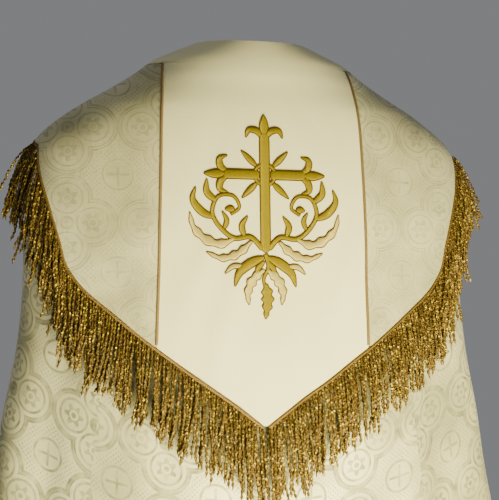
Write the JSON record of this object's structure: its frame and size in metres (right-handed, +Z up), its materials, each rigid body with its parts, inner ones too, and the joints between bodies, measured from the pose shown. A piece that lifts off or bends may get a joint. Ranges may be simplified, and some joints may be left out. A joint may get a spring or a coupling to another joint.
{
  "type": "cope",
  "caption": "Ivory brocade cope, open at the front, with a shield-shaped hood at the back edged in gold bullion fringe and a clasp tab at the chest.",
  "frame": {"origin": "middle of the neck, level with the top of the back neckline, where the cope rests on the neck and shoulders", "axes": "+Z up, +Y towards the wearer's front, +X towards the wearer's right; the hood is on the -Y side"},
  "size_m": [0.9836, 0.5527, 1.4543],
  "materials": {
    "brocade": "ivory silk brocade, woven pattern a shade darker, soft satin ground",
    "satin": "plain cream satin, faint sheen",
    "lining": "light gold lining fabric",
    "canvas": "undyed stiffening canvas",
    "braid": "narrow dull gold braid",
    "bullion": "twisted metallic gold fringe cord",
    "thread": "gold satin stitch over padding",
    "metal": "small brass fittings"
  },
  "bodies": {
    "cope": {"brocade_left": "brocade", "lining_left": "lining", "hem_tape_left": "satin", "brocade_back": "brocade", "lining_back": "lining", "hem_tape_back": "satin", "brocade_right": "brocade", "lining_right": "lining", "hem_tape_right": "satin", "orphrey_left": "satin", "orphrey_canvas_left": "canvas", "orphrey_neck": "satin", "orphrey_canvas_neck": "canvas", "orphrey_right": "satin", "orphrey_canvas_right": "canvas", "orphrey_braid_left": "braid", "orphrey_braid_right": "braid", "neck_facing": "lining", "hanging_loop": "braid", "hood_button_1": "metal", "hood_loop_1": "braid", "hood_button_2": "metal", "hood_loop_2": "braid", "hood_button_3": "metal", "hood_loop_3": "braid", "clasp_eye_1": "metal", "clasp_eye_2": "metal"},
    "hood": {"hood_panel_centre": "satin", "hood_panel_left": "brocade", "hood_panel_right": "brocade", "hood_canvas": "canvas", "hood_lining": "lining", "hood_braid_left": "braid", "fringe_header_left": "braid", "fringe_side_left": "bullion", "fringe_lower_left": "bullion", "embroidery_scroll_left": "thread", "hood_braid_right": "braid", "fringe_header_right": "braid", "fringe_side_right": "bullion", "fringe_lower_right": "bullion", "embroidery_scroll_right": "thread", "embroidery_cross": "thread", "embroidery_spray": "thread"},
    "clasp": {"clasp_lining": "lining", "clasp_tab": "satin", "clasp_braid": "braid", "clasp_cross": "thread", "clasp_hook_1": "metal", "clasp_hook_2": "metal"}
  },
  "joints": [
    {"name": "hood_lift", "type": "hinge", "parent": "cope", "child": "hood", "pos_m": [0, 0, 0.002], "axis": [-1, 0, 0], "range_deg": [0, 100]},
    {"name": "clasp_open", "type": "hinge", "parent": "cope", "child": "clasp", "pos_m": [-0.0762, 0.11892, -0.23135], "axis": [0, -0.1359, 0.9907], "range_deg": [0, 150]}
  ]
}
